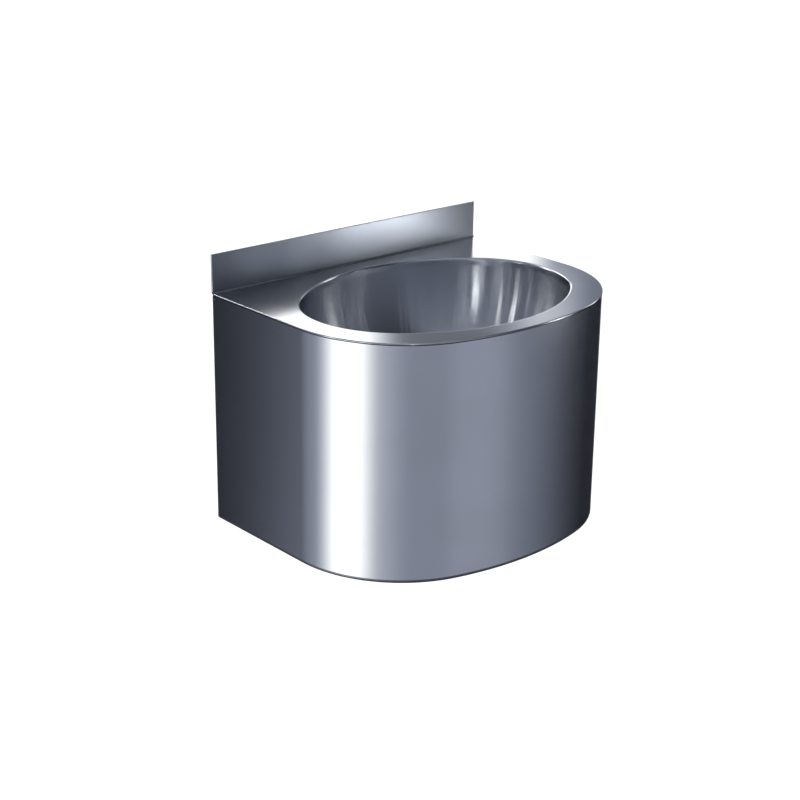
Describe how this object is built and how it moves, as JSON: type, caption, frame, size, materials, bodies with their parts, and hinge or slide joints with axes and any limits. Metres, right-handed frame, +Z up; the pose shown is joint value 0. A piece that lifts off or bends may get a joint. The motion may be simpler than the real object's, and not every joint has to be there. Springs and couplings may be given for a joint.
{
  "type": "hand wash sink",
  "caption": "Wall-hung D-shaped hand wash sink in folded stainless sheet: oval bowl, low upstand, deep apron, hidden waste, bottle trap and wall rail.",
  "frame": {"origin": "on the wall face, midway between the rail's two fixing holes, 40 mm below the deck's surface", "axes": "+X to the right along the wall, +Y into the wall, +Z up"},
  "size_m": [0.45, 0.35, 0.359],
  "materials": {
    "sheet_steel": "satin sheet, fine grain",
    "bowl_steel": "satin pressed bowl",
    "bracket_steel": "mill finish",
    "waste_steel": "polished",
    "fastener_steel": "bright fastener",
    "trap_plastic": "moulded white plastic",
    "seal_rubber": "matt black rubber"
  },
  "bodies": {
    "basin": {"deck": "sheet_steel", "apron": "sheet_steel", "bowl": "bowl_steel", "rear_hanger": "bracket_steel", "wall_rail": "bracket_steel", "earth_tag": "bracket_steel", "locking_screws": "fastener_steel", "strainer": "waste_steel", "strainer_screw": "fastener_steel", "strainer_seal": "seal_rubber", "bowl_seal": "seal_rubber", "waste_body": "waste_steel", "trap_inlet_nut": "trap_plastic", "trap_inlet_seal": "seal_rubber", "trap_dip_tube": "trap_plastic", "trap_head": "trap_plastic", "trap_outlet_seal": "seal_rubber", "trap_outlet_nut": "trap_plastic", "trap_outlet_tube": "trap_plastic"},
    "trap_cup": {"trap_cup": "trap_plastic", "trap_cup_seal": "seal_rubber"},
    "trap_cup_nut": {"trap_cup_nut": "trap_plastic"}
  },
  "joints": [
    {"name": "cup_drop", "type": "slide", "parent": "basin", "child": "trap_cup", "axis": [0, 0, -1], "range_m": [0, 0.009]},
    {"name": "cup_nut_turn", "type": "hinge", "parent": "trap_cup", "child": "trap_cup_nut", "pos_m": [0, -0.176, -0.2], "axis": [0, 0, -1], "range_deg": [0, 1080]}
  ],
  "couplings": [
    {"joint": "cup_nut_turn", "follows": "cup_drop", "rad_per_m": 2094.4}
  ]
}
